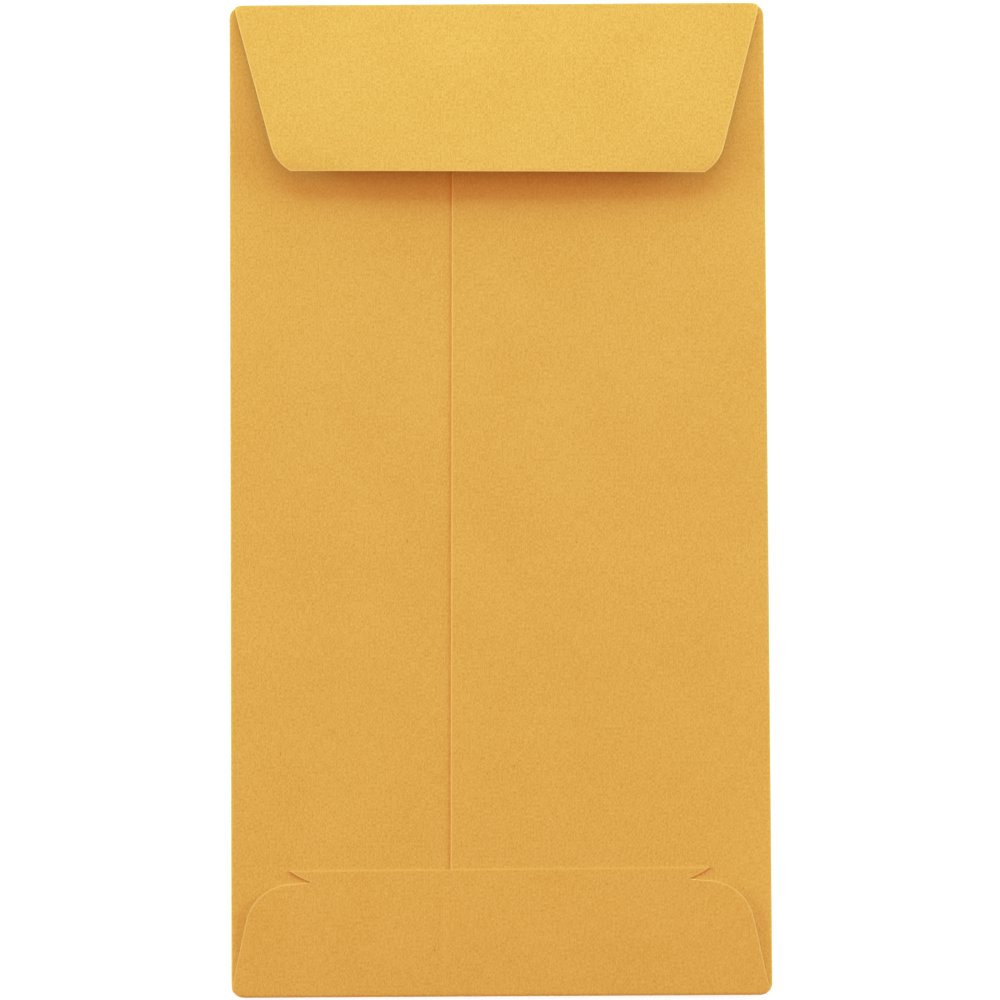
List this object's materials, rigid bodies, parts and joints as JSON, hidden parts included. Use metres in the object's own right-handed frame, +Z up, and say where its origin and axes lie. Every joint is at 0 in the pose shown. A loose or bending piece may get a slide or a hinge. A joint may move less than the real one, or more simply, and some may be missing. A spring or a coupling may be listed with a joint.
{
  "type": "paper envelope",
  "caption": "Open-end kraft paper envelope, folded from one sheet, with a lapped back seam, a glued bottom flap with notched shoulders and an arched seal flap that rests ajar.",
  "frame": {"origin": "middle of the front panel's outer face, which lies on the surface", "axes": "+X across the envelope to the right seen from the back, +Y from the bottom fold to the seal fold, +Z up out of the back"},
  "size_m": [0.0888, 0.165, 0.0041],
  "materials": {
    "kraft_paper": "golden brown kraft, uncoated, matt with a faint sheen and a fine fibre grain along the sheet"
  },
  "bodies": {
    "root": {"envelope": "kraft_paper"}
  },
  "joints": []
}
